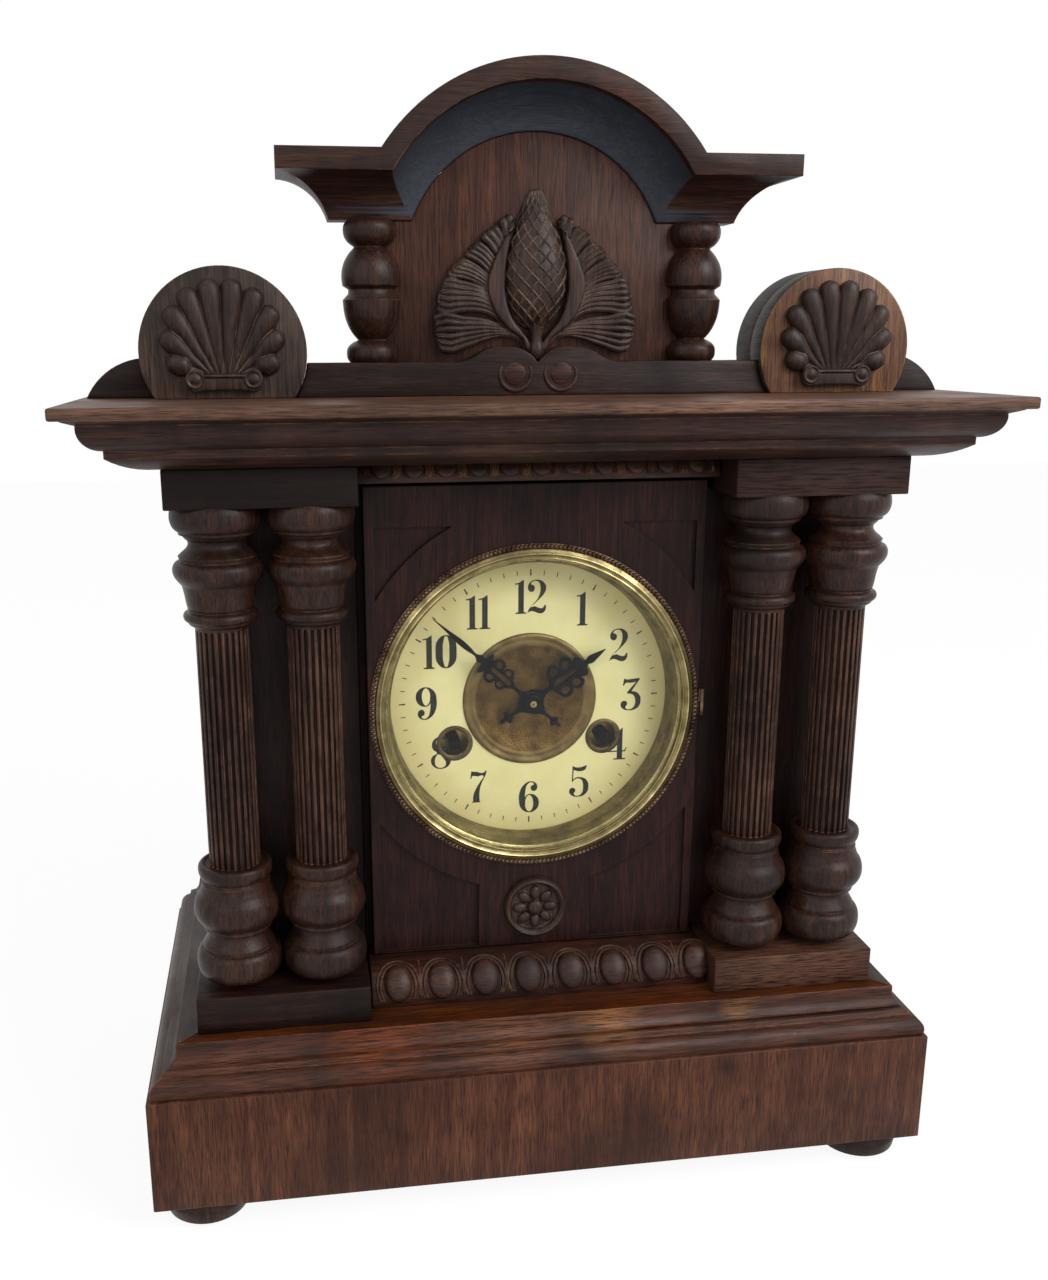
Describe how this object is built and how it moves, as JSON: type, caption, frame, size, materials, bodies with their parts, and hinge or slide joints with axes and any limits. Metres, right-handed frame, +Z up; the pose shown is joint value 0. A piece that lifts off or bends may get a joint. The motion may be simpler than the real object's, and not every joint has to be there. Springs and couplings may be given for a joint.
{
  "type": "mantel clock",
  "caption": "Architectural mantel clock: bun feet, stepped plinth, paired fluted columns, moulded cornice, arched crest with shell roundels, round dial in a hinged brass bezel.",
  "frame": {"origin": "on the floor under the middle of the cornice, which is the widest and deepest part", "axes": "+X to the right of a person facing the dial, +Y from the dial to the back, +Z up"},
  "size_m": [0.369, 0.2, 0.4705],
  "materials": {
    "veneered_wood": "worn shellac",
    "turned_wood": "worn shellac",
    "carved_wood": "worn shellac",
    "plain_wood": "stained, unpolished",
    "dial_paint": "satin",
    "case_brass": "aged, dull",
    "movement_brass": "brushed",
    "bezel_glass": "polished",
    "blued_steel": "blued, nearly black",
    "bare_steel": "brushed",
    "gong_iron": "rough"
  },
  "bodies": {
    "case": {"plinth_front": "veneered_wood", "plinth_sides": "veneered_wood", "pedestals": "veneered_wood", "front_panel": "veneered_wood", "crest_board": "veneered_wood", "crest_fins": "veneered_wood", "base_deck": "veneered_wood", "bun_feet": "turned_wood", "base_rails": "turned_wood", "imposts": "turned_wood", "column_left_outer": "turned_wood", "column_left_inner": "turned_wood", "column_right_inner": "turned_wood", "column_right_outer": "turned_wood", "cornice_board": "turned_wood", "cornice_mouldings": "turned_wood", "crest_hood": "turned_wood", "balusters": "turned_wood", "crest_rail": "turned_wood", "roundels": "turned_wood", "egg_moulding_lower": "carved_wood", "egg_moulding_upper": "carved_wood", "panel_rosette": "carved_wood", "shells": "carved_wood", "pine_cone_ornament": "carved_wood", "plinth_back": "plain_wood", "carcase_sides": "plain_wood", "carcase_top": "plain_wood", "front_frame": "plain_wood", "movement_battens": "plain_wood", "dial_plate": "dial_paint", "bezel_hinge_leaf": "case_brass", "centre_disc": "case_brass", "winding_grommets": "case_brass", "door_hinges_fixed": "case_brass", "movement_front_plate": "movement_brass", "movement_back_plate": "movement_brass", "movement_pillars": "bare_steel", "movement_straps": "bare_steel", "gong": "gong_iron"},
    "bezel": {"bezel_ring": "case_brass", "bezel_glass": "bezel_glass"},
    "back_door": {"back_door": "plain_wood", "door_hinges_moving": "case_brass"},
    "turn_button": {"turn_button": "plain_wood"},
    "minute_arbor": {"centre_arbor": "movement_brass", "minute_hand": "blued_steel", "hand_nut": "movement_brass"},
    "minute_wheel": {"minute_wheel": "movement_brass"},
    "hour_wheel": {"hour_wheel": "movement_brass", "hour_hand": "blued_steel"},
    "time_barrel": {"time_barrel": "movement_brass"},
    "third_wheel": {"third_wheel": "movement_brass"},
    "escape_wheel": {"escape_wheel": "movement_brass"},
    "strike_barrel": {"strike_barrel": "movement_brass"},
    "time_winding_arbor": {"time_winding_arbor": "bare_steel"},
    "strike_winding_arbor": {"strike_winding_arbor": "bare_steel"},
    "anchor": {"anchor": "bare_steel"},
    "pendulum": {"pendulum": "movement_brass"},
    "hammer": {"hammer": "bare_steel"}
  },
  "joints": [
    {"name": "bezel_hinge", "type": "hinge", "parent": "case", "child": "bezel", "pos_m": [0.0743, -0.0426, 0.2127], "axis": [0, 0, 1], "range_deg": [0, 100]},
    {"name": "back_door_hinge", "type": "hinge", "parent": "case", "child": "back_door", "pos_m": [0.12925, 0.0976, 0.2], "axis": [0, 0, -1], "range_deg": [0, 100]},
    {"name": "turn_button_pivot", "type": "hinge", "parent": "case", "child": "turn_button", "pos_m": [0, 0.096, 0.3359], "axis": [0, 1, 0], "range_deg": [0, 90]},
    {"name": "minute_turn", "type": "hinge", "parent": "case", "child": "minute_arbor", "pos_m": [0, 0.0025, 0.2127], "axis": [0, 1, 0], "continuous": true},
    {"name": "minute_wheel_turn", "type": "hinge", "parent": "case", "child": "minute_wheel", "pos_m": [0, -0.0195, 0.1959], "axis": [0, 1, 0], "continuous": true},
    {"name": "hour_turn", "type": "hinge", "parent": "case", "child": "hour_wheel", "pos_m": [0, -0.0225, 0.2127], "axis": [0, 1, 0], "continuous": true},
    {"name": "time_barrel_turn", "type": "hinge", "parent": "case", "child": "time_barrel", "pos_m": [0.0339, 0.0005, 0.1937], "axis": [0, 1, 0], "continuous": true},
    {"name": "third_wheel_turn", "type": "hinge", "parent": "case", "child": "third_wheel", "pos_m": [0.014, 0.0025, 0.2297], "axis": [0, 1, 0], "continuous": true},
    {"name": "escape_wheel_turn", "type": "hinge", "parent": "case", "child": "escape_wheel", "pos_m": [0, 0.0025, 0.2487], "axis": [0, 1, 0], "continuous": true},
    {"name": "strike_barrel_turn", "type": "hinge", "parent": "case", "child": "strike_barrel", "pos_m": [-0.0339, 0.0005, 0.1937], "axis": [0, 1, 0], "continuous": true},
    {"name": "time_winding_turn", "type": "hinge", "parent": "case", "child": "time_winding_arbor", "pos_m": [0.0339, -0.0075, 0.1937], "axis": [0, 1, 0], "continuous": true},
    {"name": "strike_winding_turn", "type": "hinge", "parent": "case", "child": "strike_winding_arbor", "pos_m": [-0.0339, -0.0075, 0.1937], "axis": [0, 1, 0], "continuous": true},
    {"name": "pendulum_swing", "type": "hinge", "parent": "case", "child": "pendulum", "pos_m": [0, 0.0275, 0.26426], "axis": [0, 1, 0], "range_deg": [-5, 5]},
    {"name": "anchor_rock", "type": "hinge", "parent": "case", "child": "anchor", "pos_m": [0, 0.0025, 0.26426], "axis": [0, 1, 0], "range_deg": [-5, 5]},
    {"name": "hammer_lift", "type": "hinge", "parent": "case", "child": "hammer", "pos_m": [-0.054, 0.0025, 0.2527], "axis": [0, 1, 0], "range_deg": [-20, 1.5]}
  ],
  "couplings": [
    {"joint": "minute_wheel_turn", "follows": "minute_turn", "ratio": -0.33333},
    {"joint": "hour_turn", "follows": "minute_turn", "ratio": 0.083333},
    {"joint": "time_barrel_turn", "follows": "minute_turn", "ratio": -0.13333},
    {"joint": "third_wheel_turn", "follows": "minute_turn", "ratio": -8},
    {"joint": "escape_wheel_turn", "follows": "minute_turn", "ratio": 60},
    {"joint": "anchor_rock", "follows": "pendulum_swing", "ratio": 1}
  ]
}
